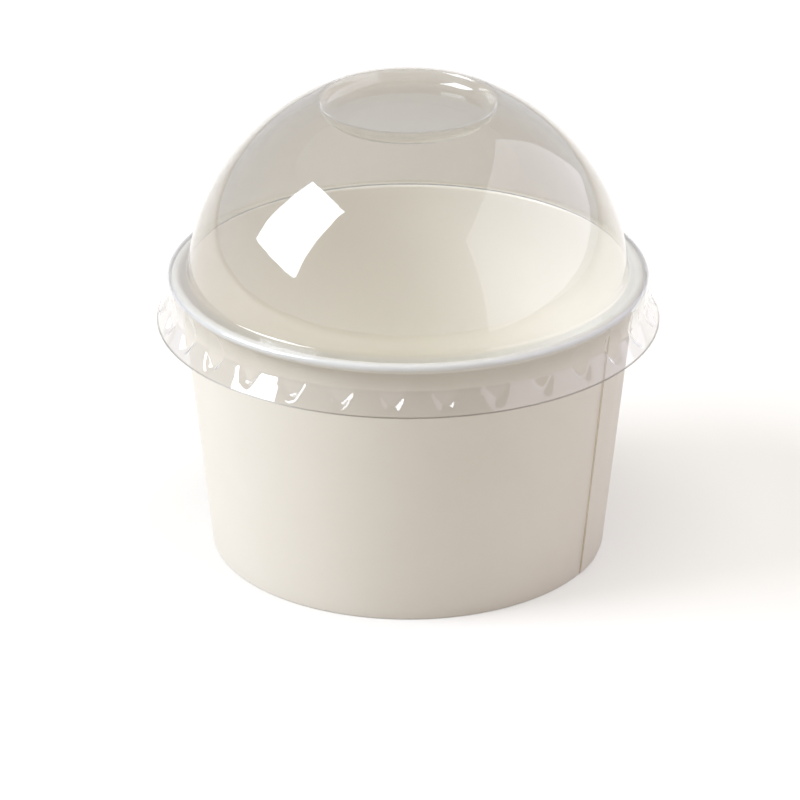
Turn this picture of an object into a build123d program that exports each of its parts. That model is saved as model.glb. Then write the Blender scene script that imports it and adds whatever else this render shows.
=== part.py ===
"""Squat white paper cup with a rolled rim, closed by a clear domed lid.

Millimetres, +Z up. The origin is the middle of the foot ring, on the surface the cup stands on.
The front is -Y, and the wall's lap seam is on the right of the front.
"""

import os
from math import acos, asin, atan2, cos, degrees, hypot, radians, sin, tan

from build123d import *

# Paper cup: one blank wound into a cone, hemmed at the foot and curled out at the rim
cup_height = 57.9
foot_radius = 39.7
rim_radius = 47.05
curl_diameter = 2.0
curl_turn_deg = 285.0
wall_ply = 0.4
hem_height = 4.6
fold_radius = 0.25
glue_gap = 0.04

# Lap seam: the blank's outer end lies over its inner end and settles back onto the cone
seam_azimuth_deg = 59.4
lap_width = 7.0
lap_ramp_width = 3.5

# Paper base: a disc with its edge turned down into the pocket of the hem
base_ply = 0.35
base_height = 6.6
base_bend_radius = 0.5

# Clear lid: thermoformed from one sheet, from the sunken top down to the flared skirt
lid_ply = 0.3
dome_rise = 35.9
dome_foot_inset = 3.05
crest_radius = 17.2
recess_depth = 3.5
recess_wall_run = 0.6
seat_gap = 0.1
band_clearance = 0.55
crease_clearance = 0.25
band_height = 5.4
skirt_flare = 2.5
skirt_drop = 4.6

# Rounded edges of the lid, on its outer side
recess_corner_radius = 2.0
crest_corner_radius = 0.8
dome_foot_corner_radius = 0.7
ledge_corner_radius = 1.0
crease_corner_radius = 1.2

# Flutes: round-ended tongues pressed into the skirt, narrowing downwards, which stiffen it
flute_count = 30
flute_phase_deg = -3.7
flute_top_width = 4.8
flute_tip_width = 2.4
flute_length = 5.6
flute_lean_deg = 14.0
flute_draft_deg = 40.0
flute_clearance = 0.15

# Every cut runs past the piece by this much
overrun = 4.0

# Section of the paper wall, worked out along the middle of the ply
curl_radius = (curl_diameter - wall_ply) / 2
curl_centre_r = rim_radius - curl_diameter / 2
curl_centre_z = cup_height - curl_diameter / 2
foot_r = foot_radius - wall_ply / 2
lean = atan2(curl_centre_r - foot_r, curl_centre_z)
lean -= asin(curl_radius / hypot(curl_centre_r - foot_r, curl_centre_z))
pocket_width = base_ply + 2 * glue_gap
ply_pitch = wall_ply + pocket_width
fold_flat = (ply_pitch - 2 * fold_radius) / cos(lean)
fold_z = wall_ply / 2
fold_outer_r = foot_r + (fold_z + fold_radius) * tan(lean) - fold_radius / cos(lean)

# Lid radii and heights that follow the cup's rim
ledge_top = cup_height + seat_gap + lid_ply
band_radius = rim_radius + band_clearance + lid_ply
crease_radius = rim_radius + crease_clearance + lid_ply
crease_z = ledge_top - band_height
skirt_radius = crease_radius + skirt_flare
skirt_z = crease_z - skirt_drop
dome_foot_radius = rim_radius - dome_foot_inset
crest_height = ledge_top + dome_rise
recess_floor_radius = crest_radius - recess_wall_run
recess_floor_z = crest_height - recess_depth
flute_floor_r = rim_radius + flute_clearance + lid_ply


def wall_face_r(z: float) -> float:
    """Outer radius of the conical wall at a height."""
    return foot_r + z * tan(lean) + wall_ply / 2 / cos(lean)


def spin(section: Sketch) -> Part:
    """Turn a section drawn in the XZ plane once round the cup's axis."""
    return revolve(section, axis=Axis.Z)


def cup_wall() -> Part:
    """Hem, foot fold, conical wall and open curl as one ply, with the lap of the seam."""
    fold = Line((fold_outer_r - fold_flat, fold_z), (fold_outer_r, fold_z))
    outer_bend = JernArc(fold @ 1, (1, 0), fold_radius, 90 - degrees(lean))
    inner_bend = JernArc(fold @ 0, (-1, 0), fold_radius, -90 - degrees(lean))
    hem = PolarLine(inner_bend @ 1, hem_height, direction=inner_bend % 1)
    curl_start = (curl_centre_r - curl_radius * cos(lean), curl_centre_z + curl_radius * sin(lean))
    cone = Line(outer_bend @ 1, curl_start)
    curl = JernArc(cone @ 1, cone % 1, curl_radius, -curl_turn_deg)
    ply = trace(Curve() + [hem, inner_bend, fold, outer_bend, cone, curl], wall_ply)
    return spin(Plane.XZ * ply) + seam_lap()


def lap_outline(z: float) -> Face:
    """Level section of the lap: full ply at the cut edge, easing into the wall at the far side."""
    face_r = wall_face_r(z)
    sunk_r = face_r - wall_ply / 2
    top_r = face_r + wall_ply
    lap_deg = degrees(lap_width / face_r)
    ramp_deg = degrees(lap_ramp_width / face_r)
    top = CenterArc((0, 0), top_r, 0, lap_deg)
    under = CenterArc((0, 0), sunk_r, 0, lap_deg + ramp_deg)
    sides = [Line(under @ 0, top @ 0), Line(top @ 1, under @ 1)]
    return Pos(0, 0, z) * make_face([top, under] + sides)


def seam_lap() -> Part:
    """Overlapping end of the blank, from the foot fold up to the underside of the curl."""
    low = lap_outline(fold_z + fold_radius)
    high = lap_outline(curl_centre_z - curl_radius)
    return Rot(0, 0, seam_azimuth_deg - 90) * loft([low, high], ruled=True)


def cup_base() -> Part:
    """Disc with a turned-down edge that stands in the hem's pocket."""
    disc_z = base_height - base_ply / 2
    skirt_offset = (wall_ply + base_ply) / 2 + glue_gap
    bend_z = disc_z - base_bend_radius
    bend_r = foot_r + bend_z * tan(lean) - (skirt_offset + base_bend_radius) / cos(lean)
    disc = Line((0, disc_z), (bend_r, disc_z))
    bend = JernArc(disc @ 1, (1, 0), base_bend_radius, -90 - degrees(lean))
    edge_length = ((bend @ 1).Y - wall_ply - glue_gap) / cos(lean)
    edge = PolarLine(bend @ 1, edge_length, direction=bend % 1)
    return spin(Plane.XZ * trace(Curve() + [disc, bend, edge], base_ply))


def lid_surface() -> Wire:
    """Outer line of the lid from the axis to below the skirt, with its edges rounded."""
    dome_z = (crest_height + ledge_top) / 2 - (dome_foot_radius**2 - crest_radius**2) / (2 * dome_rise)
    dome_radius = hypot(dome_foot_radius, ledge_top - dome_z)
    crest_deg = degrees(acos(crest_radius / dome_radius))
    foot_deg = degrees(asin((ledge_top - dome_z) / dome_radius))
    low_end = (skirt_radius + overrun * skirt_flare / skirt_drop, skirt_z - overrun)
    floor = Line((0, recess_floor_z), (recess_floor_radius, recess_floor_z))
    dome = CenterArc((0, dome_z), dome_radius, crest_deg, foot_deg - crest_deg)
    side = Polyline((dome @ 1), (band_radius, ledge_top), (crease_radius, crease_z), low_end)
    corners = [
        (floor @ 1, recess_corner_radius),
        (dome @ 0, crest_corner_radius),
        (dome @ 1, dome_foot_corner_radius),
        (Vector(band_radius, ledge_top), ledge_corner_radius),
        (Vector(crease_radius, crease_z), crease_corner_radius),
    ]
    line = Wire([floor, Line(floor @ 1, dome @ 0), dome] + side.edges())
    for place, radius in corners:
        line = line.fillet_2d(radius, line.vertices().sort_by_distance(place)[:1])
    return line


def lid_core(line: Wire) -> Part:
    """Solid filled in under a line of the lid's section."""
    low_end = line.vertices().sort_by(Axis.Y)[0].center()
    axis_end = line.vertices().sort_by(Axis.X)[0].center()
    axis_low = (0, low_end.Y)
    edges = line.edges() + [Line(low_end, axis_low), Line(axis_low, axis_end)]
    return spin(Plane.XZ * make_face(edges))


def flute_cutters(grow: float) -> list[Part]:
    """Tongues that lean out below the crease and widen outwards, grown by the sheet for its inner side."""
    tilt = radians(flute_lean_deg)
    up = Vector(-sin(tilt), 0, cos(tilt))
    out = Vector(cos(tilt), 0, sin(tilt))
    widening = grow * tan(radians(45 - flute_draft_deg / 2))
    top = Circle(flute_top_width / 2 + widening)
    tip_drop = flute_length - (flute_top_width + flute_tip_width) / 2
    tip = Pos(-tip_drop, 0) * Circle(flute_tip_width / 2 + widening)
    crease_point = Vector(flute_floor_r, 0, crease_z) - out * grow
    floor = Plane(crease_point, x_dir=up, z_dir=out) * make_hull(top.edges() + tip.edges())
    tongue = extrude(floor, skirt_flare, taper=-flute_draft_deg)
    tongue -= Pos(0, 0, crease_z) * Cylinder(flute_floor_r - grow, 2 * band_height)
    return PolarLocations(0, flute_count, flute_phase_deg - 90) * tongue


def dome_lid() -> Part:
    """Sunken top, dome, seat ledge, band and fluted skirt of one clear sheet."""
    outer_line = lid_surface()
    inner_line = outer_line.offset_2d(lid_ply, side=Side.RIGHT, closed=False)
    outside = lid_core(outer_line) - flute_cutters(0)
    inside = lid_core(inner_line) - flute_cutters(lid_ply)
    return split(outside - inside, bisect_by=Plane.XY.offset(skirt_z), keep=Keep.TOP)


os.makedirs("parts", exist_ok=True)
for piece in (cup_wall, cup_base, dome_lid):
    export_step(piece(), f"parts/{piece.__name__}.step")
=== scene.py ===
"""Looks of a squat white paper cup closed by a clear domed lid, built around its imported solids.

Metres, +Z up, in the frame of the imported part. The front is -Y, and azimuths are counted from the
front towards +X. The paper wall, the paper base and the lid are each one dressed mesh.
"""

import logging
import math
from dataclasses import dataclass, field
from enum import Enum

import bmesh
import bpy
import numpy as np
from mathutils import Matrix, Vector


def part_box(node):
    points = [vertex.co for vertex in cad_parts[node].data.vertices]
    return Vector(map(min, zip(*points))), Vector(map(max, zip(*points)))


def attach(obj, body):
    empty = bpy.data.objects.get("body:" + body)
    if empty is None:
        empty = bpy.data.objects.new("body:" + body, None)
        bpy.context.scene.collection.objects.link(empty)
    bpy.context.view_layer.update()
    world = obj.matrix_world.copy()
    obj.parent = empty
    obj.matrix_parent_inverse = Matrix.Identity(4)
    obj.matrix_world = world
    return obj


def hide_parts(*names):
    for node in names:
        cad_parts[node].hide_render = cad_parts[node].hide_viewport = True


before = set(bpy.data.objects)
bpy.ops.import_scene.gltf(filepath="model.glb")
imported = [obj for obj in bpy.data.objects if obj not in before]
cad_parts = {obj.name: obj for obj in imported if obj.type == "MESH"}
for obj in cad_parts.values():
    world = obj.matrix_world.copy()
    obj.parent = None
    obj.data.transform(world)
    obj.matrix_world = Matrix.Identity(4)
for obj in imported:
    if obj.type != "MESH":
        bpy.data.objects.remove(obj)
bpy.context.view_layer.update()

MM = 0.001
MICRON = 0.001 * MM
QUARTER_TURN = math.pi / 2
FULL_TURN = 2 * math.pi
SHARP_ANGLE = math.radians(40)
MERGE_DISTANCE = 0.1 * MICRON

# Colour sockets of the Mix node, which have to be numbered because their names repeat
MIX_A = 6
MIX_B = 7
MIX_RESULT = 2

log = logging.getLogger("paper_cup")


class Body(Enum):
    """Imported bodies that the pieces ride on."""

    CUP = "cup"
    LID = "lid"


class Node(Enum):
    """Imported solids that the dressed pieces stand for."""

    WALL = "cup_wall"
    BASE = "cup_base"
    LID = "dome_lid"


class Slot(Enum):
    """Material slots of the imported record."""

    WALL_PAPER = "wall_paper"
    BASE_PAPER = "base_paper"
    CLEAR_SHEET = "clear_sheet"


class PaperFace(Enum):
    """Faces of a paper ply, numbered as the material slots of a paper piece."""

    OUTSIDE = 0
    INSIDE = 1
    CUT = 2


def linear(hex_colour: str) -> tuple[float, float, float, float]:
    """Turn an sRGB hex colour into linear RGBA.

    Args:
        hex_colour: Colour as "#RRGGBB".

    Returns:
        Linear red, green and blue with an alpha of 1.
    """
    channels = [int(hex_colour[i : i + 2], 16) / 255 for i in (1, 3, 5)]
    bright = [c / 12.92 if c <= 0.04045 else ((c + 0.055) / 1.055) ** 2.4 for c in channels]
    return (*bright, 1.0)


def add_node(
    tree: bpy.types.NodeTree,
    kind: str,
    inputs: dict[str | int, object] | None = None,
    **settings: object,
) -> bpy.types.Node:
    """Add one node to a tree, with its settings and its inputs.

    Args:
        tree: Tree that gets the node.
        kind: Blender's name of the node's type.
        inputs: Socket name or number to a value, or to another node's output that is linked in.
        **settings: Properties of the node, such as operation.

    Returns:
        The new node.
    """
    node = tree.nodes.new(kind)
    for name, value in settings.items():
        setattr(node, name, value)
    for socket, value in (inputs or {}).items():
        if isinstance(value, bpy.types.NodeSocket):
            tree.links.new(value, node.inputs[socket])
        else:
            node.inputs[socket].default_value = value
    return node


def seen_by_eye(tree: bpy.types.NodeTree) -> bpy.types.NodeSocket:
    """Tell rays that end in the eye, also by way of gloss or clear sheet, from rays that only light.

    Args:
        tree: Tree of a material or of the world.

    Returns:
        Output that is 1 for the first kind and 0 for the second.
    """
    path = add_node(tree, "ShaderNodeLightPath").outputs
    mirrored = add_node(
        tree,
        "ShaderNodeMath",
        {0: path["Is Glossy Ray"], 1: path["Is Transmission Ray"]},
        operation="MAXIMUM",
    )
    seen = add_node(
        tree,
        "ShaderNodeMath",
        {0: path["Is Camera Ray"], 1: mirrored.outputs[0]},
        operation="MAXIMUM",
    )
    return seen.outputs[0]


def new_material(name: str) -> bpy.types.Material:
    """Make an empty node material.

    Args:
        name: Name of the material.

    Returns:
        The new material.
    """
    material = bpy.data.materials.new(name)
    material.use_nodes = True
    material.node_tree.nodes.clear()
    return material


@dataclass(frozen=True)
class CupBoard:
    """One face of bleached cup board: pale pulp fibres, clouded where the sheet formed unevenly.

    Attributes:
        name: Common name of the finish.
        colour: Colour of the face.
        cloud_colour: Colour where the sheet is denser.
        roughness: Mean roughness of the face.
        roughness_spread: How far the roughness strays along the fibres.
        cloud_size: Size of the clouds that show when the board is looked through.
        cloud_detail: Number of finer layers in the clouds.
        fibre_size: Length of the fibre marks, drawn about twice as coarse as real ones to show.
        fibre_detail: Number of finer layers in the fibre marks.
        tooth: Height of the fibre marks.
        ior: Index of refraction of the coated pulp.
    """

    name: str
    colour: str
    cloud_colour: str
    roughness: float
    roughness_spread: float = 0.05
    cloud_size: float = 9 * MM
    cloud_detail: float = 3.0
    fibre_size: float = 0.5 * MM
    fibre_detail: float = 2.0
    tooth: float = 8 * MICRON
    ior: float = 1.5

    def material(self) -> bpy.types.Material:
        """Build the finish: cloudy colour, and fibres in the roughness and the bump.

        Returns:
            The new material.
        """
        material = new_material(self.name)
        tree = material.node_tree
        place = add_node(tree, "ShaderNodeTexCoord").outputs["Object"]
        clouds = add_node(
            tree,
            "ShaderNodeTexNoise",
            {"Vector": place, "Scale": 1 / self.cloud_size, "Detail": self.cloud_detail},
        )
        fibres = add_node(
            tree,
            "ShaderNodeTexNoise",
            {"Vector": place, "Scale": 1 / self.fibre_size, "Detail": self.fibre_detail},
        )
        colour = add_node(
            tree,
            "ShaderNodeMix",
            {
                "Factor": clouds.outputs["Fac"],
                MIX_A: linear(self.colour),
                MIX_B: linear(self.cloud_colour),
            },
            data_type="RGBA",
        )
        rough = add_node(
            tree,
            "ShaderNodeMapRange",
            {
                "Value": fibres.outputs["Fac"],
                "To Min": self.roughness - self.roughness_spread,
                "To Max": self.roughness + self.roughness_spread,
            },
        )
        bump = add_node(
            tree,
            "ShaderNodeBump",
            {"Height": fibres.outputs["Fac"], "Strength": 1.0, "Distance": self.tooth},
        )
        shader = add_node(
            tree,
            "ShaderNodeBsdfPrincipled",
            {
                "Base Color": colour.outputs[MIX_RESULT],
                "Roughness": rough.outputs["Result"],
                "Normal": bump.outputs["Normal"],
                "IOR": self.ior,
            },
        )
        add_node(tree, "ShaderNodeOutputMaterial", {"Surface": shader.outputs[0]})
        return material


@dataclass(frozen=True)
class ClearSheet:
    """Thermoformed clear PET: glossy, almost clear, with the faint ripple of a stretched sheet.

    Attributes:
        name: Common name of the finish.
        tint: Share of each colour that one wall of the sheet lets through at the skirt.
        painted_shade_tint: The same on the band and the dome, greyer there as painted shade.
        painted_bluish_shade_tint: The same on the ledge's rounded edge between them, cooler there as
            painted bluish shade.
        band_shade_heights: Heights between which the band's painted shade sets in.
        ledge_shade_heights: Heights between which that edge's painted bluish shade sets in.
        dome_shade_heights: Heights between which the dome's painted shade sets in.
        lamp_tint: Share that each face lets through on the way from a lamp to the paper.
        ior: Index of refraction of PET, which makes the gloss.
        bend: Index for the way through, near 1 because a thin sheet hardly shifts what is behind it.
        roughness: Mean roughness, low because the sheet was formed on a polished mould.
        roughness_spread: How far a faint haze strays from it.
        ripple_size: Width of the waves that forming leaves in the sheet.
        ripple_detail: Number of finer layers in those waves.
        ripple_height: Height of those waves.
        faces_met: Number of faces after which a ray goes straight on, so that none is lost.
    """

    name: str = "thermoformed_clear_PET"
    tint: str = "#F3F1EF"
    painted_shade_tint: str = "#DFDCD7"
    painted_bluish_shade_tint: str = "#DEE0E5"
    band_shade_heights: tuple[float, float] = (52 * MM, 56 * MM)
    ledge_shade_heights: tuple[float, float] = (56.8 * MM, 57.4 * MM)
    dome_shade_heights: tuple[float, float] = (58.0 * MM, 58.3 * MM)
    lamp_tint: str = "#FEFEFD"
    ior: float = 1.575
    bend: float = 1.05
    roughness: float = 0.03
    roughness_spread: float = 0.015
    ripple_size: float = 3.5 * MM
    ripple_detail: float = 2.0
    ripple_height: float = 6 * MICRON
    faces_met: int = 4

    def material(self) -> bpy.types.Material:
        """Build the finish, which lets lamps shine straight through onto the paper.

        Returns:
            The new material.
        """
        material = new_material(self.name)
        tree = material.node_tree
        place = add_node(tree, "ShaderNodeTexCoord").outputs["Object"]
        ripple = add_node(
            tree,
            "ShaderNodeTexNoise",
            {"Vector": place, "Scale": 1 / self.ripple_size, "Detail": self.ripple_detail},
        )
        haze = add_node(
            tree,
            "ShaderNodeMapRange",
            {
                "Value": ripple.outputs["Fac"],
                "To Min": self.roughness - self.roughness_spread,
                "To Max": self.roughness + self.roughness_spread,
            },
        )
        bump = add_node(
            tree,
            "ShaderNodeBump",
            {"Height": ripple.outputs["Fac"], "Strength": 1.0, "Distance": self.ripple_height},
        )
        height = add_node(tree, "ShaderNodeSeparateXYZ", {0: place}).outputs["Z"]
        tint = linear(self.tint)
        # Painted shade: by height, the tint turns greyer over the band and the dome and bluish over the
        # ledge's edge
        for (low, high), colour in (
            (self.band_shade_heights, self.painted_shade_tint),
            (self.ledge_shade_heights, self.painted_bluish_shade_tint),
            (self.dome_shade_heights, self.painted_shade_tint),
        ):
            share = add_node(
                tree, "ShaderNodeMapRange", {"Value": height, "From Min": low, "From Max": high}
            )
            tint = add_node(
                tree,
                "ShaderNodeMix",
                {"Factor": share.outputs["Result"], MIX_A: tint, MIX_B: linear(colour)},
                data_type="RGBA",
            ).outputs[MIX_RESULT]
        sheet = add_node(
            tree,
            "ShaderNodeBsdfPrincipled",
            {
                "Base Color": tint,
                "Roughness": haze.outputs["Result"],
                "Normal": bump.outputs["Normal"],
                "IOR": self.bend,
                "Transmission Weight": 1.0,
                "Coat Weight": 1.0,
                "Coat Roughness": self.roughness,
                "Coat IOR": self.ior,
                "Coat Normal": bump.outputs["Normal"],
            },
        )
        open_way = add_node(tree, "ShaderNodeBsdfTransparent", {"Color": linear(self.lamp_tint)})
        path = add_node(tree, "ShaderNodeLightPath")
        lighting = add_node(
            tree,
            "ShaderNodeMath",
            {0: path.outputs["Is Shadow Ray"], 1: path.outputs["Is Diffuse Ray"]},
            operation="MAXIMUM",
        )
        late = add_node(
            tree,
            "ShaderNodeMath",
            {0: path.outputs["Ray Depth"], 1: self.faces_met - 1},
            operation="GREATER_THAN",
        )
        straight_on = add_node(
            tree,
            "ShaderNodeMath",
            {0: lighting.outputs[0], 1: late.outputs[0]},
            operation="MAXIMUM",
        )
        either = add_node(
            tree,
            "ShaderNodeMixShader",
            {0: straight_on.outputs[0], 1: sheet.outputs[0], 2: open_way.outputs[0]},
        )
        add_node(tree, "ShaderNodeOutputMaterial", {"Surface": either.outputs[0]})
        return material


# The lowest strip of the skirt is drawn in a greyer, rougher sheet, so that the lower edge shows as a
# thin grey line
GREY_EDGE_LINE = ClearSheet("grey_PET_edge_line", tint="#BDB9B4", roughness=0.4, roughness_spread=0.1)


@dataclass(frozen=True)
class SeamlessPaper:
    """White seamless background paper, lifted to white wherever it is looked at.

    Attributes:
        name: Common name of the finish.
        colour: Colour that the lamps light.
        lift: Glow that is added for the eye alone, so that the paper reads as white.
    """

    name: str = "seamless_background_paper"
    colour: str = "#C4C2C0"
    lift: float = 0.35

    def material(self) -> bpy.types.Material:
        """Build the finish: matt paper that keeps its shadow, and the lift for the eye.

        Returns:
            The new material.
        """
        material = new_material(self.name)
        tree = material.node_tree
        strength = add_node(
            tree, "ShaderNodeMath", {0: seen_by_eye(tree), 1: self.lift}, operation="MULTIPLY"
        )
        paper = add_node(tree, "ShaderNodeBsdfDiffuse", {"Color": linear(self.colour)})
        glow = add_node(tree, "ShaderNodeEmission", {"Strength": strength.outputs[0]})
        both = add_node(tree, "ShaderNodeAddShader", {0: paper.outputs[0], 1: glow.outputs[0]})
        add_node(tree, "ShaderNodeOutputMaterial", {"Surface": both.outputs[0]})
        return material


# The cup's outer face is clay coated: white, smooth and nearly matt
OUTER_BOARD = CupBoard("clay_coated_cup_board", "#EEE9DE", "#EBE5D9", roughness=0.52)
# The inner face, which the rim curl turns outwards, has a thin plastic coat and a soft shine
INNER_BOARD = CupBoard(
    "poly_coated_cup_board", "#FAF8F3", "#F7F5EF", roughness=0.34, tooth=4 * MICRON
)
# Cut edges show the bare pulp inside the board, which is browner and rough
CUT_BOARD = CupBoard("bare_cup_board_edge", "#F2EBDE", "#ECE3D2", roughness=0.85, tooth=20 * MICRON)
# Finishes of a paper piece, in the order of its faces' numbers
PAPER_FINISHES = (OUTER_BOARD, INNER_BOARD, CUT_BOARD)


class PlyLine:
    """Middle line of a folded ply in radius and height, walked by straight runs and bends."""

    def __init__(self, start: tuple[float, float], heading: float) -> None:
        """Start the line.

        Args:
            start: Radius and height of the first point.
            heading: Direction in radians, from pointing outwards towards pointing up.
        """
        self.points = [np.array(start)]
        self.headings = [heading]

    def run(self, length: float, steps: int = 1) -> "PlyLine":
        """Go straight on.

        Args:
            length: Length of the run.
            steps: Number of equal steps that it is noted in.

        Returns:
            The line itself.
        """
        start, heading = self.points[-1], self.headings[-1]
        ahead = np.array((math.cos(heading), math.sin(heading)))
        for step in range(1, steps + 1):
            self.points.append(start + ahead * length * step / steps)
            self.headings.append(heading)
        return self

    def bend(self, radius: float, turn: float, steps: int) -> "PlyLine":
        """Turn along an arc.

        Args:
            radius: Radius of the arc.
            turn: Angle of the turn, positive to the left.
            steps: Number of equal steps that it is noted in.

        Returns:
            The line itself.
        """
        start, heading = self.points[-1], self.headings[-1]
        side = math.copysign(radius, turn)
        centre = start + side * np.array((-math.sin(heading), math.cos(heading)))
        for step in range(1, steps + 1):
            now = heading + turn * step / steps
            self.points.append(centre + side * np.array((math.sin(now), -math.cos(now))))
            self.headings.append(now)
        return self

    def outline(self, ply: float) -> np.ndarray:
        """Closed outline of the ply, along its right face and back along its left one.

        Args:
            ply: Thickness of the paper.

        Returns:
            Radius and height of each point, one in each row.
        """
        points, headings = np.array(self.points), np.array(self.headings)
        right = np.column_stack((np.sin(headings), -np.cos(headings))) * ply / 2
        return np.vstack((points + right, (points - right)[::-1]))

    def faces(self) -> list[PaperFace]:
        """Name the face of the ply that each stretch of the outline belongs to.

        Returns:
            One face for each stretch, in the outline's order.
        """
        runs = len(self.points) - 1
        right = [PaperFace.OUTSIDE] * runs
        left = [PaperFace.INSIDE] * runs
        return right + [PaperFace.CUT] + left + [PaperFace.CUT]


def spun(line: np.ndarray, angles: np.ndarray) -> np.ndarray:
    """Turn a line round the cup's axis.

    Args:
        line: Radius and height of each point, one in each row.
        angles: Angle of each column.

    Returns:
        Places, by column and then by point of the line.
    """
    radius, height = line.T
    across = np.outer(np.cos(angles), radius)
    along = np.outer(np.sin(angles), radius)
    return np.stack((across, along, np.broadcast_to(height, across.shape)), axis=-1)


def grid_faces(columns: int, points: int, closed: bool) -> np.ndarray:
    """Number the four corners of each face of a spun line, facing outwards.

    Args:
        columns: Number of columns, of which the last joins the first.
        points: Number of points of the line.
        closed: Whether the last point of the line joins the first.

    Returns:
        Four vertex numbers for each face, by column and then by stretch of the line.
    """
    here = np.arange(columns)[:, None] * points
    there = np.roll(np.arange(columns), -1)[:, None] * points
    low = np.arange(points if closed else points - 1)[None, :]
    high = (low + 1) % points
    return np.stack((here + low, there + low, there + high, here + high), axis=-1)


def add_piece(
    name: str, places: np.ndarray, faces: np.ndarray, finish: np.ndarray
) -> bpy.types.Object:
    """Make a smooth mesh piece at the origin, with doubled points merged.

    Args:
        name: Name of the piece.
        places: Place of each vertex, one in each row.
        faces: Four vertex numbers for each face.
        finish: Material slot number of each face.

    Returns:
        The new object.
    """
    mesh = bpy.data.meshes.new(name)
    mesh.from_pydata(places.reshape(-1, 3).tolist(), [], faces.reshape(-1, 4).tolist())
    mesh.polygons.foreach_set("material_index", finish.ravel().astype(np.int32))
    mesh.polygons.foreach_set("use_smooth", np.ones(len(mesh.polygons), bool))
    shell = bmesh.new()
    shell.from_mesh(mesh)
    bmesh.ops.remove_doubles(shell, verts=shell.verts, dist=MERGE_DISTANCE)
    shell.to_mesh(mesh)
    shell.free()
    mesh.set_sharp_from_angle(angle=SHARP_ANGLE)
    piece = bpy.data.objects.new(name, mesh)
    bpy.context.scene.collection.objects.link(piece)
    return piece


def seat(piece: bpy.types.Object, body: Body, node: Node) -> None:
    """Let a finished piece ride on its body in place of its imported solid.

    Args:
        piece: The finished piece.
        body: Body that it moves with.
        node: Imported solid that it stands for.
    """
    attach(piece, body.value)
    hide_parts(node.value)
    triangles = sum(len(face.vertices) - 2 for face in piece.data.polygons)
    log.info("%s rides on %s: %d triangles", piece.name, body.value, triangles)


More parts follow.
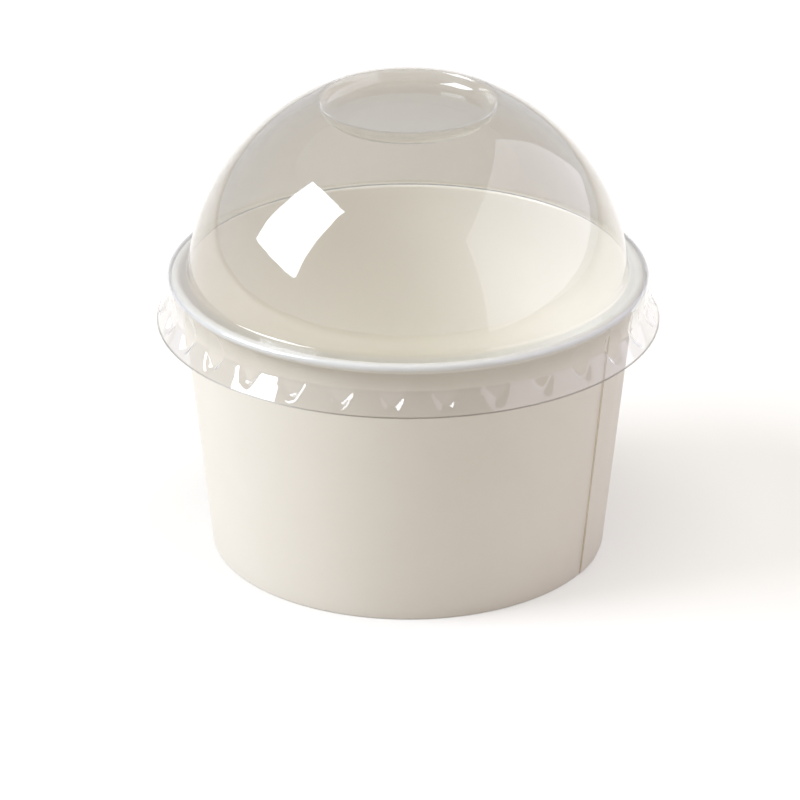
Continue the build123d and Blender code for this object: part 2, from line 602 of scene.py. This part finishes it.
@dataclass
class PaperCup:
    """Paper wall: a blank wound into a cone with a lap seam, hemmed at the foot and curled at the rim.

    Attributes:
        rim_radius: Outer radius of the rim curl.
        height: Height of the rim curl's top.
        foot_radius: Outer radius where the wall's line meets the ground.
        ply: Thickness of the board.
        curl_diameter: Outer diameter of the rim curl.
        curl_turn: How far the curl is rolled.
        hem_height: Height of the hem inside the foot.
        fold_radius: Radius of the foot fold, along the middle of the ply.
        base_ply: Thickness of the base's board, which stands in the hem.
        glue_gap: Gap on either side of it.
        seam_azimuth: Azimuth of the cut edge of the lap seam.
        lap_width: Width over which the lap lies proud by a full ply.
        lap_ramp: Width over which the lap then settles onto the cone.
        lap_fade: Height over which the lap is pressed flat at the fold and below the curl.
        columns: Number of columns of the mesh round the cup.
        hem_steps: Number of steps of the mesh up the hem.
        fold_steps: Number of steps round each bend of the foot fold.
        flat_steps: Number of steps along the flat of the fold.
        wall_steps: Number of steps up the wall.
        curl_steps: Number of steps round the curl.
    """

    rim_radius: float
    height: float
    foot_radius: float = 39.7 * MM
    ply: float = 0.4 * MM
    curl_diameter: float = 2.0 * MM
    curl_turn: float = math.radians(285)
    hem_height: float = 4.6 * MM
    fold_radius: float = 0.25 * MM
    base_ply: float = 0.35 * MM
    glue_gap: float = 0.04 * MM
    seam_azimuth: float = math.radians(59.4)
    lap_width: float = 7.0 * MM
    lap_ramp: float = 3.5 * MM
    lap_fade: float = 0.3 * MM
    columns: int = 360
    hem_steps: int = 4
    fold_steps: int = 8
    flat_steps: int = 2
    wall_steps: int = 24
    curl_steps: int = 40

    def __post_init__(self) -> None:
        """Work out the curl's place and the wall's lean from the driving sizes."""
        self.curl_radius = (self.curl_diameter - self.ply) / 2
        self.curl_r = self.rim_radius - self.curl_diameter / 2
        self.curl_z = self.height - self.curl_diameter / 2
        self.foot_r = self.foot_radius - self.ply / 2
        reach = math.hypot(self.curl_r - self.foot_r, self.curl_z)
        self.lean = math.atan2(self.curl_r - self.foot_r, self.curl_z)
        self.lean -= math.asin(self.curl_radius / reach)

    @classmethod
    def from_frame(cls) -> "PaperCup":
        """Take the rim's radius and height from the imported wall."""
        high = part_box(Node.WALL.value)[1]
        return cls(rim_radius=high.y, height=high.z)

    def line(self) -> PlyLine:
        """Walk the ply from the top of the hem, round the foot fold, up the cone and round the curl.

        Returns:
            The middle line of the ply.
        """
        lean, fold = self.lean, self.fold_radius
        fold_z = self.ply / 2
        pitch = self.ply + self.base_ply + 2 * self.glue_gap
        flat = (pitch - 2 * fold) / math.cos(lean)
        outer_r = self.foot_r + (fold_z + fold) * math.tan(lean) - fold / math.cos(lean)
        up = np.array((math.sin(lean), math.cos(lean)))
        hem_foot = np.array((outer_r - flat, fold_z + fold)) + fold * np.array((-up[1], up[0]))
        line = PlyLine(hem_foot + self.hem_height * up, 3 * QUARTER_TURN - lean)
        line.run(self.hem_height, self.hem_steps)
        line.bend(fold, QUARTER_TURN + lean, self.fold_steps)
        line.run(flat, self.flat_steps)
        line.bend(fold, QUARTER_TURN - lean, self.fold_steps)
        curl_start = np.array((self.curl_r, self.curl_z)) + self.curl_radius * np.array((-up[1], up[0]))
        line.run(float(np.linalg.norm(curl_start - line.points[-1])), self.wall_steps)
        return line.bend(self.curl_radius, -self.curl_turn, self.curl_steps)

    def lap_height(self, places: np.ndarray, past_seam: np.ndarray) -> np.ndarray:
        """How far the lap lifts each point of the wall's outer face.

        Args:
            places: Radius and height of each point of the outer face.
            past_seam: Angle of each column past the seam.

        Returns:
            Lift, by column and then by point.
        """
        radius, height = places.T
        along = np.outer(past_seam, radius)
        lift = np.clip((self.lap_width + self.lap_ramp - along) / self.lap_ramp, 0, 1)
        low = (height - self.fold_radius) / self.lap_fade
        high = (self.curl_z - self.curl_diameter / 2 - height) / self.lap_fade
        return self.ply * lift * np.clip(np.minimum(low, high), 0, 1)

    def build(self) -> bpy.types.Object:
        """Build the wall with its lap seam.

        Returns:
            The undressed wall.
        """
        line = self.line()
        outline = line.outline(self.ply)
        past_seam = np.linspace(0, FULL_TURN, self.columns, endpoint=False)
        past_seam = np.concatenate(([FULL_TURN], past_seam))
        angles = past_seam + self.seam_azimuth - QUARTER_TURN
        places = spun(outline, angles)
        outer = slice(0, len(line.points))
        lift = self.lap_height(outline[outer], past_seam)
        lift[:, : np.argmin(outline[outer, 1]) + 1] = 0
        outward = np.column_stack((np.cos(angles), np.sin(angles)))
        places[:, outer, :2] += lift[..., None] * outward[:, None, :]
        faces = grid_faces(len(angles), len(outline), closed=True)
        finish = np.tile([face.value for face in line.faces()], (len(angles), 1))
        finish[0] = PaperFace.CUT.value
        return add_piece("paper_wall", places, faces, finish)

    def dress(self) -> bpy.types.Object:
        """Build the wall, give each face its finish and seat it.

        Returns:
            The finished wall.
        """
        wall = self.build()
        for board in PAPER_FINISHES:
            wall.data.materials.append(board.material())
        seat(wall, Body.CUP, Node.WALL)
        return wall


@dataclass
class CupBase:
    """Paper base: a disc whose edge is turned down into the hem of the wall.

    Attributes:
        cup: Wall that the base stands in.
        height: Height of the base's upper face.
        bend_radius: Radius of the turned edge, along the middle of the ply.
        columns: Number of columns of the mesh round the base.
        disc_steps: Number of steps of the mesh across the disc.
        bend_steps: Number of steps round the bend.
        edge_steps: Number of steps down the turned edge.
    """

    cup: PaperCup
    height: float
    bend_radius: float = 0.5 * MM
    columns: int = 240
    disc_steps: int = 30
    bend_steps: int = 10
    edge_steps: int = 5

    @classmethod
    def from_frame(cls, cup: PaperCup) -> "CupBase":
        """Take the base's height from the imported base."""
        return cls(cup=cup, height=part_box(Node.BASE.value)[1].z)

    def line(self) -> PlyLine:
        """Walk the ply from the axis to the bend and down the turned edge.

        Returns:
            The middle line of the ply.
        """
        cup = self.cup
        disc_z = self.height - cup.base_ply / 2
        bend_z = disc_z - self.bend_radius
        inset = (cup.ply + cup.base_ply) / 2 + cup.glue_gap + self.bend_radius
        bend_r = cup.foot_r + bend_z * math.tan(cup.lean) - inset / math.cos(cup.lean)
        line = PlyLine((0, disc_z), 0).run(bend_r, self.disc_steps)
        line.bend(self.bend_radius, -QUARTER_TURN - cup.lean, self.bend_steps)
        drop = line.points[-1][1] - cup.ply - cup.glue_gap
        return line.run(drop / math.cos(cup.lean), self.edge_steps)

    def dress(self) -> bpy.types.Object:
        """Build the base, give each face its finish and seat it.

        Returns:
            The finished base.
        """
        line = self.line()
        outline = line.outline(self.cup.base_ply)
        angles = np.linspace(0, FULL_TURN, self.columns, endpoint=False)
        faces = grid_faces(self.columns, len(outline), closed=True)
        finish = np.tile([face.value for face in line.faces()], (self.columns, 1))
        base = add_piece("paper_base", spun(outline, angles), faces, finish)
        for board in PAPER_FINISHES:
            base.data.materials.append(board.material())
        seat(base, Body.CUP, Node.BASE)
        return base


@dataclass(frozen=True)
class Corner:
    """Corner of a section, rounded by an arc.

    Attributes:
        r: Radius of the corner's point.
        z: Height of the corner's point.
        rounding: Radius of the arc, or 0 for a plain point.
    """

    r: float
    z: float
    rounding: float = 0.0


def rounded_line(corners: list[Corner], arc_steps: int) -> np.ndarray:
    """Join corners by straight stretches, with an arc at each rounded one.

    Args:
        corners: Corners in order.
        arc_steps: Number of steps of each arc.

    Returns:
        Radius and height of each point, one in each row.
    """
    spots = np.array([(corner.r, corner.z) for corner in corners])
    points = [spots[0]]
    for before, corner, spot, after in zip(spots, corners[1:-1], spots[1:], spots[2:]):
        if corner.rounding == 0:
            points.append(spot)
            continue
        back = (before - spot) / np.linalg.norm(before - spot)
        ahead = (after - spot) / np.linalg.norm(after - spot)
        half = math.acos(float(back @ ahead)) / 2
        middle = (back + ahead) / np.linalg.norm(back + ahead)
        centre = spot + middle * corner.rounding / math.sin(half)
        start = spot + back * corner.rounding / math.tan(half) - centre
        end = spot + ahead * corner.rounding / math.tan(half) - centre
        sweep = math.pi - 2 * half
        for share in np.linspace(0, 1, arc_steps + 1):
            mixed = math.sin((1 - share) * sweep) * start + math.sin(share * sweep) * end
            points.append(centre + mixed / math.sin(sweep))
    return np.array([*points, spots[-1]])


def refined(line: np.ndarray, longest: float) -> np.ndarray:
    """Split the straight stretches of a line into short steps.

    Args:
        line: Radius and height of each point, one in each row.
        longest: Longest step that is left.

    Returns:
        The same line with more points.
    """
    points = [line[0]]
    for start, end in zip(line, line[1:]):
        steps = math.ceil(np.linalg.norm(end - start) / longest)
        points += [start + (end - start) * step / steps for step in range(1, steps + 1)]
    return np.array(points)


def bake_modifiers(piece: bpy.types.Object) -> None:
    """Turn a piece and its modifiers into a plain mesh.

    Args:
        piece: Piece whose modifiers are used up.
    """
    seen = piece.evaluated_get(bpy.context.evaluated_depsgraph_get())
    mesh = bpy.data.meshes.new_from_object(seen)
    piece.modifiers.clear()
    piece.data = mesh
    mesh.set_sharp_from_angle(angle=SHARP_ANGLE)


@dataclass
class Flutes:
    """Round-ended tongues pressed into the lid's skirt, which narrow downwards and lean out.

    Attributes:
        count: Number of flutes round the skirt.
        phase: Azimuth of the flute next to the front.
        top_width: Width of a flute's floor at the crease, where it ends in a half circle.
        tip_width: Width of the half circle at its lower end.
        length: Length of the floor.
        lean: How far the floor leans out below the crease.
        draft: How far its walls lean out from the floor's normal.
        clearance: Gap between the rim and the flutes' inner side.
        edge_softness: Depth over which the edges of a flute are rounded.
        column_shares: Places of the mesh's columns, as shares of a half pitch from a flute's middle.
    """

    count: int = 30
    phase: float = math.radians(-3.7)
    top_width: float = 4.8 * MM
    tip_width: float = 2.4 * MM
    length: float = 5.6 * MM
    lean: float = math.radians(14)
    draft: float = math.radians(40)
    clearance: float = 0.15 * MM
    edge_softness: float = 0.25 * MM
    column_shares: tuple[float, ...] = (
        0.0, 0.08, 0.16, 0.23, 0.29, 0.35, 0.41, 0.47, 0.53, 0.65, 1.0
    )

    def angles(self) -> np.ndarray:
        """Angle of each column of the lid's mesh, closest together at the flutes' walls.

        Returns:
            Angles of all columns in order.
        """
        half = FULL_TURN / self.count / 2
        right = half * np.array(self.column_shares)
        pitch = np.concatenate((-right[-2:0:-1], right))
        middles = np.arange(self.count) * 2 * half + self.phase - QUARTER_TURN
        return (middles[:, None] + pitch).ravel()

    def press(self, lid: bpy.types.Object, rim: float, crease_z: float) -> None:
        """Give the lid the modifier that presses the flutes in, with the sizes of this lid.

        Args:
            lid: Lid with a plain skirt.
            rim: Radius of the cup's rim and the sheet round it.
            crease_z: Height of the crease above the skirt.
        """
        tip_drop = self.length - (self.top_width + self.tip_width) / 2
        narrowing = (self.top_width - self.tip_width) / 2
        sizes = {
            "Half Pitch": FULL_TURN / self.count / 2,
            "Phase": self.phase - QUARTER_TURN,
            "Floor Radius": rim + self.clearance,
            "Crease Height": crease_z,
            "Lean": self.lean,
            "Tip Drop": tip_drop,
            "Tip Half Width": self.tip_width / 2,
            "Widening": narrowing / tip_drop,
            "Side Slant": narrowing / math.sqrt(tip_drop**2 - narrowing**2),
            "Wall Slope": 1 / math.tan(self.draft),
            "Edge Softness": self.edge_softness,
        }
        tree = self.tree(list(sizes))
        modifier = lid.modifiers.new("flutes", "NODES")
        modifier.node_group = tree
        sockets = {s.name: s.identifier for s in tree.interface.items_tree if s.in_out == "INPUT"}
        for name, size in sizes.items():
            modifier[sockets[name]] = size
        modifier[sockets["Sheet"]] = ClearSheet().material()

    def tree(self, sizes: list[str]) -> bpy.types.NodeTree:
        """Build the node tree that moves each point in to the face of the nearest tongue.

        Args:
            sizes: Names of the tree's number inputs.

        Returns:
            The new tree.
        """
        tree = bpy.data.node_groups.new("press_flutes", "GeometryNodeTree")
        tree.interface.new_socket("Lid", in_out="INPUT", socket_type="NodeSocketGeometry")
        for name in sizes:
            tree.interface.new_socket(name, in_out="INPUT", socket_type="NodeSocketFloat")
        tree.interface.new_socket("Sheet", in_out="INPUT", socket_type="NodeSocketMaterial")
        tree.interface.new_socket("Lid", in_out="OUTPUT", socket_type="NodeSocketGeometry")
        given = add_node(tree, "NodeGroupInput").outputs
        position = add_node(tree, "GeometryNodeInputPosition").outputs[0]
        x, y, z = add_node(tree, "ShaderNodeSeparateXYZ", {0: position}).outputs
        flat = add_node(tree, "ShaderNodeCombineXYZ", {0: x, 1: y}).outputs[0]
        length = add_node(tree, "ShaderNodeVectorMath", {0: flat}, operation="LENGTH")
        radius = length.outputs["Value"]
        values = {name: given[name] for name in sizes} | {"x": x, "y": y, "z": z, "radius": radius}
        steps = (
            ("azimuth", "ARCTAN2", "y", "x"),
            ("turned", "SUBTRACT", "azimuth", "Phase"),
            ("other half", "MULTIPLY", "Half Pitch", -1.0),
            ("off", "WRAP", "turned", "Half Pitch", "other half"),
            ("off sine", "SINE", "off"),
            ("off cosine", "COSINE", "off"),
            ("lean sine", "SINE", "Lean"),
            ("lean cosine", "COSINE", "Lean"),
            ("aside", "MULTIPLY", "radius", "off sine"),
            ("ahead", "MULTIPLY", "radius", "off cosine"),
            ("proud", "SUBTRACT", "ahead", "Floor Radius"),
            ("above", "SUBTRACT", "z", "Crease Height"),
            ("proud part", "MULTIPLY", "proud", "lean sine"),
            ("above part", "MULTIPLY", "above", "lean cosine"),
            ("along", "SUBTRACT", "above part", "proud part"),
            ("past tip", "ADD", "along", "Tip Drop"),
            ("sideways", "ABSOLUTE", "aside"),
            ("slanted", "MULTIPLY_ADD", "sideways", "Side Slant", "past tip"),
            ("not below", "MAXIMUM", "slanted", 0.0),
            ("nearest", "MINIMUM", "not below", "Tip Drop"),
            ("beyond", "SUBTRACT", "past tip", "nearest"),
            ("beyond squared", "MULTIPLY", "beyond", "beyond"),
            ("away squared", "MULTIPLY_ADD", "aside", "aside", "beyond squared"),
            ("away", "SQRT", "away squared"),
            ("half width", "MULTIPLY_ADD", "nearest", "Widening", "Tip Half Width"),
            ("past floor", "SUBTRACT", "away", "half width"),
            ("on wall", "SMOOTH_MAX", "past floor", 0.0, "Edge Softness"),
            ("wall height", "MULTIPLY", "on wall", "Wall Slope"),
            ("floor drop", "MULTIPLY", "above", "lean sine"),
            ("wall there", "SUBTRACT", "wall height", "floor drop"),
            ("wall proud", "DIVIDE", "wall there", "lean cosine"),
            ("kept proud", "MAXIMUM", "wall proud", 0.0),
            ("face", "ADD", "kept proud", "Floor Radius"),
            ("face radius", "DIVIDE", "face", "off cosine"),
            ("pressed", "SMOOTH_MIN", "radius", "face radius", "Edge Softness"),
            ("not zero", "MAXIMUM", "radius", MICRON),
            ("share", "DIVIDE", "pressed", "not zero"),
        )
        for name, operation, *terms in steps:
            inputs = {number: values.get(term, term) for number, term in enumerate(terms)}
            values[name] = add_node(tree, "ShaderNodeMath", inputs, operation=operation).outputs[0]
        share = values["share"]
        scale = add_node(tree, "ShaderNodeCombineXYZ", {0: share, 1: share, 2: 1.0})
        moved = add_node(
            tree, "ShaderNodeVectorMath", {0: position, 1: scale.outputs[0]}, operation="MULTIPLY"
        )
        lid = add_node(
            tree,
            "GeometryNodeSetPosition",
            {"Geometry": given["Lid"], "Position": moved.outputs["Vector"]},
        )
        real = add_node(tree, "GeometryNodeRealizeInstances", {0: lid.outputs[0]})
        sheet = add_node(
            tree, "GeometryNodeSetMaterial", {"Geometry": real.outputs[0], "Material": given["Sheet"]}
        )
        add_node(tree, "NodeGroupOutput", {"Lid": sheet.outputs[0]})
        return tree


@dataclass
class DomeLid:
    """Clear lid: sunken top, dome, seat ledge over the rim, tapered band and flared, fluted skirt.

    Attributes:
        cup: Paper cup whose rim the lid sits on.
        skirt_radius: Outer radius of the skirt's lower edge.
        skirt_z: Height of that edge.
        ply: Thickness of the sheet.
        dome_rise: Height of the corner between dome and sunken top above the ledge.
        dome_foot_inset: How far the dome's foot lies inside the rim.
        crest_radius: Radius of the corner between dome and sunken top.
        recess_depth: Depth of the sunken top.
        recess_wall_run: How far its wall leans in.
        seat_gap: Gap between the rim's top and the ledge.
        band_clearance: Gap between the rim and the band at the ledge.
        crease_clearance: The same at the crease below the band.
        band_height: Height of the band.
        recess_corner: Rounding where the recess's floor meets its wall.
        crest_corner: Rounding of the crest.
        foot_corner: Rounding of the dome's foot.
        ledge_corner: Rounding of the ledge's outer edge.
        crease_corner: Rounding of the crease between band and skirt.
        dome_steps: Number of steps of the mesh along the dome.
        arc_steps: Number of steps of the mesh along each rounding.
        skirt_step: Longest step of the mesh along the skirt and the band.
        flutes: Flutes that are pressed into the skirt.
    """

    cup: PaperCup
    skirt_radius: float
    skirt_z: float
    ply: float = 0.3 * MM
    dome_rise: float = 35.9 * MM
    dome_foot_inset: float = 3.05 * MM
    crest_radius: float = 17.2 * MM
    recess_depth: float = 3.5 * MM
    recess_wall_run: float = 0.6 * MM
    seat_gap: float = 0.1 * MM
    band_clearance: float = 0.55 * MM
    crease_clearance: float = 0.25 * MM
    band_height: float = 5.4 * MM
    recess_corner: float = 2.0 * MM
    crest_corner: float = 0.8 * MM
    foot_corner: float = 0.7 * MM
    ledge_corner: float = 1.0 * MM
    crease_corner: float = 1.2 * MM
    dome_steps: int = 22
    arc_steps: int = 5
    skirt_step: float = 0.3 * MM
    flutes: Flutes = field(default_factory=Flutes)

    def __post_init__(self) -> None:
        """Work out the ledge's height and the crease's place from the cup's rim."""
        self.rim_r = self.cup.rim_radius + self.ply
        self.ledge_z = self.cup.height + self.seat_gap + self.ply
        self.crease_z = self.ledge_z - self.band_height

    @classmethod
    def from_frame(cls, cup: PaperCup) -> "DomeLid":
        """Take the skirt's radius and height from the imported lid."""
        low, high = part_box(Node.LID.value)
        return cls(cup=cup, skirt_radius=high.y, skirt_z=low.z)

    def dome(self) -> list[Corner]:
        """Follow the dome's arc from its foot to its crest.

        Returns:
            Plain points of the arc in order, without its two ends.
        """
        foot_r = self.cup.rim_radius - self.dome_foot_inset
        lift = self.dome_rise / 2 - (foot_r**2 - self.crest_radius**2) / (2 * self.dome_rise)
        radius = math.hypot(foot_r, lift)
        low, high = math.asin(-lift / radius), math.acos(self.crest_radius / radius)
        turns = np.linspace(low, high, self.dome_steps + 1)[1:-1]
        centre_z = self.ledge_z + lift
        return [Corner(radius * math.cos(t), centre_z + radius * math.sin(t)) for t in turns]

    def line(self) -> np.ndarray:
        """Outer line of the lid from the skirt's edge up to the axis.

        Returns:
            Radius and height of each point, one in each row.
        """
        crest_z = self.ledge_z + self.dome_rise
        floor_z = crest_z - self.recess_depth
        corners = [
            Corner(self.skirt_radius, self.skirt_z),
            Corner(self.rim_r + self.crease_clearance, self.crease_z, self.crease_corner),
            Corner(self.rim_r + self.band_clearance, self.ledge_z, self.ledge_corner),
            Corner(self.cup.rim_radius - self.dome_foot_inset, self.ledge_z, self.foot_corner),
            *self.dome(),
            Corner(self.crest_radius, crest_z, self.crest_corner),
            Corner(self.crest_radius - self.recess_wall_run, floor_z, self.recess_corner),
            Corner(0, floor_z),
        ]
        line = rounded_line(corners, self.arc_steps)
        plain = int(np.argmax(line[:, 1] > self.crease_z + self.flutes.top_width / 2))
        return np.vstack((refined(line[: plain + 1], self.skirt_step), line[plain + 1 :]))

    def build(self) -> bpy.types.Object:
        """Spin the section, press the flutes into it and give the sheet its thickness.

        Returns:
            The undressed lid.
        """
        line = self.line()
        angles = self.flutes.angles()
        faces = grid_faces(len(angles), len(line), closed=False)
        lid = add_piece("clear_lid", spun(line, angles), faces, np.zeros(faces.shape[:2]))
        self.flutes.press(lid, self.rim_r, self.crease_z)
        sheet = lid.modifiers.new("sheet", "SOLIDIFY")
        sheet.thickness = self.ply
        sheet.offset = -1
        sheet.use_even_offset = True
        bake_modifiers(lid)
        self.mark_edge(lid.data)
        return lid

    def mark_edge(self, mesh: bpy.types.Mesh) -> None:
        """Give the lowest strip of the skirt a greyer, rougher finish of its own, which shows as a thin
        grey line.

        Args:
            mesh: Mesh of the finished sheet.
        """
        lowest_strip = [face.center.z < self.skirt_z + self.skirt_step / 2 for face in mesh.polygons]
        mesh.materials.append(GREY_EDGE_LINE.material())
        mesh.polygons.foreach_set("material_index", np.array(lowest_strip, np.int32))

    def dress(self) -> bpy.types.Object:
        """Build the lid, make it clear and seat it.

        Returns:
            The finished lid.
        """
        lid = self.build()
        seat(lid, Body.LID, Node.LID)
        return lid


@dataclass(frozen=True)
class SoftBox:
    """Flat soft lamp.

    Attributes:
        name: Name of the lamp.
        centre: Middle of its face.
        across: Width of its face, with its direction.
        up: Height of its face, with its direction.
        radiance: How bright its face is, where 1 is white.
        colour: Colour of its light.
        mirrored: Whether the lid shows the lamp as a bright panel.
    """

    name: str
    centre: Vector
    across: Vector
    up: Vector
    radiance: float
    colour: str
    mirrored: bool = True

    def place(self, target: Vector) -> None:
        """Put the lamp in the scene, with its bright side to the object.

        Args:
            target: Point on the bright side.
        """
        light = bpy.data.lights.new(self.name, "AREA")
        light.shape = "RECTANGLE"
        light.size = self.across.length
        light.size_y = self.up.length
        light.color = linear(self.colour)[:3]
        # The power of a flat lamp is its brightness times its area times pi
        light.energy = self.radiance * math.pi * light.size * light.size_y
        away = self.across.cross(self.up).normalized()
        across = self.across.normalized()
        if away.dot(self.centre - target) < 0:
            away, across = -away, -across
        lamp = bpy.data.objects.new(self.name, light)
        turn = Matrix((across, away.cross(across), away)).transposed().to_4x4()
        lamp.matrix_world = Matrix.Translation(self.centre) @ turn
        lamp.visible_glossy = lamp.visible_transmission = self.mirrored
        bpy.context.scene.collection.objects.link(lamp)


@dataclass
class Studio:
    """Plain studio with a pale floor and the camera.

    A key lamp stands on the left and a dim panel on the right, and a bank of lamps hangs overhead.

    Attributes:
        floor_size: Side of the floor.
        target: Point that the lamps light.
        fill: Brightness of the light from all round.
        fill_colour: Its colour.
        backdrop: Brightness that the lid mirrors from the pale paper round the floor.
        ceiling: Brightness that it mirrors from higher up.
        ceiling_rise: Share of the way up to overhead at which the ceiling begins.
        mirrored_colour: Colour of what the lid mirrors.
        camera_place: Place of the camera.
        camera_pitch: How far the camera looks down from level.
        lens: Focal length.
        film: Width of the film.
    """

    floor_size: float = 60.0
    target: Vector = field(default_factory=lambda: Vector((0, 0, 60 * MM)))
    fill: float = 0.20
    fill_colour: str = "#FFE0B2"
    backdrop: float = 0.8
    ceiling: float = 0.30
    ceiling_rise: float = 0.7
    mirrored_colour: str = "#EAEEFA"
    camera_place: Vector = field(default_factory=lambda: Vector((-1.63, -804.8, 400.2)) * MM)
    camera_pitch: float = math.radians(24.75)
    lens: float = 197.946
    film: float = 36.0

    def floor(self) -> bpy.types.Object:
        """Lay the floor.

        Returns:
            The floor.
        """
        half = self.floor_size / 2
        mesh = bpy.data.meshes.new("floor")
        corners = [(-half, -half, 0), (half, -half, 0), (half, half, 0), (-half, half, 0)]
        mesh.from_pydata(corners, [], [(0, 1, 2, 3)])
        mesh.materials.append(SeamlessPaper().material())
        floor = bpy.data.objects.new("floor", mesh)
        bpy.context.scene.collection.objects.link(floor)
        return floor

    def lamps(self) -> None:
        """Stand the lamps, of which the lid mirrors all but the bank overhead."""
        key = SoftBox(
            "key_softbox",
            centre=Vector((-1557, -229, 1243)) * MM,
            across=Vector((564, -969, -162)) * MM,
            up=Vector((426, -51, 1266)) * MM,
            radiance=9.2,
            colour="#ECF3FF",
        )
        panel = SoftBox(
            "dim_panel",
            centre=Vector((1164, 68, 982)) * MM,
            across=Vector((198, 2694, 288)) * MM,
            up=Vector((156, -162, 1716)) * MM,
            radiance=0.9,
            colour="#EEEBFF",
        )
        overhead = SoftBox(
            "overhead_bank",
            centre=Vector((0, -200, 1800)) * MM,
            across=Vector((1600, 0, 0)) * MM,
            up=Vector((0, 1200, 0)) * MM,
            radiance=4.1,
            colour="#FAFEFB",
            mirrored=False,
        )
        for lamp in (key, panel, overhead):
            lamp.place(self.target)

    def world(self) -> None:
        """Set the light from all round, and what the lid mirrors of it."""
        world = bpy.data.worlds.new("surroundings")
        bpy.context.scene.world = world
        world.use_nodes = True
        tree = world.node_tree
        tree.nodes.clear()
        direction = add_node(tree, "ShaderNodeTexCoord").outputs["Generated"]
        rise = add_node(tree, "ShaderNodeSeparateXYZ", {0: direction}).outputs["Z"]
        more_when_seen = add_node(
            tree,
            "ShaderNodeMapRange",
            {
                "Value": rise,
                "From Max": self.ceiling_rise,
                "To Min": self.backdrop - self.fill,
                "To Max": self.ceiling - self.fill,
            },
        )
        seen = seen_by_eye(tree)
        strength = add_node(
            tree,
            "ShaderNodeMath",
            {0: seen, 1: more_when_seen.outputs["Result"], 2: self.fill},
            operation="MULTIPLY_ADD",
        )
        colour = add_node(
            tree,
            "ShaderNodeMix",
            {"Factor": seen, MIX_A: linear(self.fill_colour), MIX_B: linear(self.mirrored_colour)},
            data_type="RGBA",
        )
        glow = add_node(
            tree,
            "ShaderNodeBackground",
            {"Color": colour.outputs[MIX_RESULT], "Strength": strength.outputs[0]},
        )
        add_node(tree, "ShaderNodeOutputWorld", {"Surface": glow.outputs[0]})

    def camera(self) -> None:
        """Set up the camera at the photograph's viewing angle."""
        view = bpy.data.cameras.new("camera")
        view.lens = self.lens
        view.sensor_width = self.film
        camera = bpy.data.objects.new("camera", view)
        camera.location = self.camera_place
        camera.rotation_euler = (QUARTER_TURN - self.camera_pitch, 0, 0)
        bpy.context.scene.collection.objects.link(camera)
        bpy.context.scene.camera = camera

    def set_up(self) -> None:
        """Lay the floor, light it and set up the camera."""
        self.floor()
        self.lamps()
        self.world()
        self.camera()
        bpy.context.scene.view_settings.view_transform = "Standard"


def main() -> None:
    """Build the pieces in order, set up the studio and note the sizes."""
    logging.basicConfig(level=logging.INFO, format="%(name)s: %(message)s")
    cup = PaperCup.from_frame()
    cup.dress()
    CupBase.from_frame(cup).dress()
    DomeLid.from_frame(cup).dress()
    Studio().set_up()


if __name__ == "__main__":
    main()
